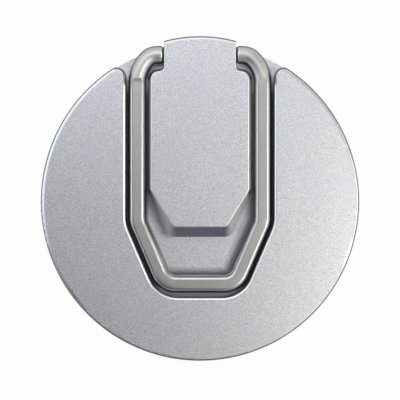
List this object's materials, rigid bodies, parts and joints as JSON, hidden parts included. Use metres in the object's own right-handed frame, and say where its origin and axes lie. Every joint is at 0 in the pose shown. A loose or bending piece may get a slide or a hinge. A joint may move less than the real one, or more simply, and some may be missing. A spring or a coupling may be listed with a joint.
{
  "type": "magnetic wireless charging stand",
  "caption": "Round metal wireless charging puck with a folding U-shaped bail that stands or holds a phone, folded flat in a recess of its back.",
  "frame": {"origin": "middle of the flat contact face that the phone sits on", "axes": "+Z away from the phone through the metal back, +Y towards the bail's hinge, -Y towards the power inlet, +X to the right seen from the back with the hinge up"},
  "size_m": [0.058, 0.0591, 0.0079],
  "materials": {
    "blasted_aluminium": "bead blasted and clear anodised",
    "satin_metal": "satin plated, tumbled edges",
    "hardened_steel": "ground",
    "black_polymer": "moulded, low friction",
    "spring_steel": "rolled",
    "blackened_steel": "black oxide",
    "front_plastic": "fine moulded texture",
    "soft_pad": "matte silicone",
    "bond_tape": "foam tape",
    "carrier_plastic": "moulded",
    "nickel_plate": "nickel plated",
    "shunt_steel": "stamped sheet",
    "clear_film": "thin film",
    "copper_wire": "enamelled copper wire",
    "ferrite": "sintered ceramic",
    "thermal_rubber": "filled silicone",
    "board_laminate": "solder mask",
    "socket_steel": "drawn, nickel plated",
    "gold_contact": "gold flash",
    "chip_resin": "moulded resin",
    "capacitor_ceramic": "sintered ceramic"
  },
  "bodies": {
    "base": {"rear_housing": "blasted_aluminium", "hinge_tongue": "blasted_aluminium", "hinge_bush_left": "black_polymer", "hinge_bush_right": "black_polymer", "friction_clip": "spring_steel", "tongue_screws": "blackened_steel", "front_cover": "front_plastic", "contact_pad": "soft_pad", "cover_tape": "bond_tape", "magnet_carrier": "carrier_plastic", "ring_magnets": "nickel_plate", "shunt_ring": "shunt_steel", "insulator_film": "clear_film", "charging_coil": "copper_wire", "ferrite_disc": "ferrite", "thermal_pad": "thermal_rubber", "circuit_board": "board_laminate", "board_screws": "blackened_steel", "usb_shell": "socket_steel", "usb_insulator": "black_polymer", "usb_contacts": "gold_contact", "controller_chip": "chip_resin", "power_inductor": "ferrite", "power_transistors": "chip_resin", "capacitors": "capacitor_ceramic"},
    "bail": {"bail": "satin_metal", "hinge_axle": "hardened_steel"}
  },
  "joints": [
    {"name": "bail_hinge", "type": "hinge", "parent": "base", "child": "bail", "pos_m": [0, 0.0268, 0.00625], "axis": [-1, 0, 0], "range_deg": [0, 180]}
  ]
}
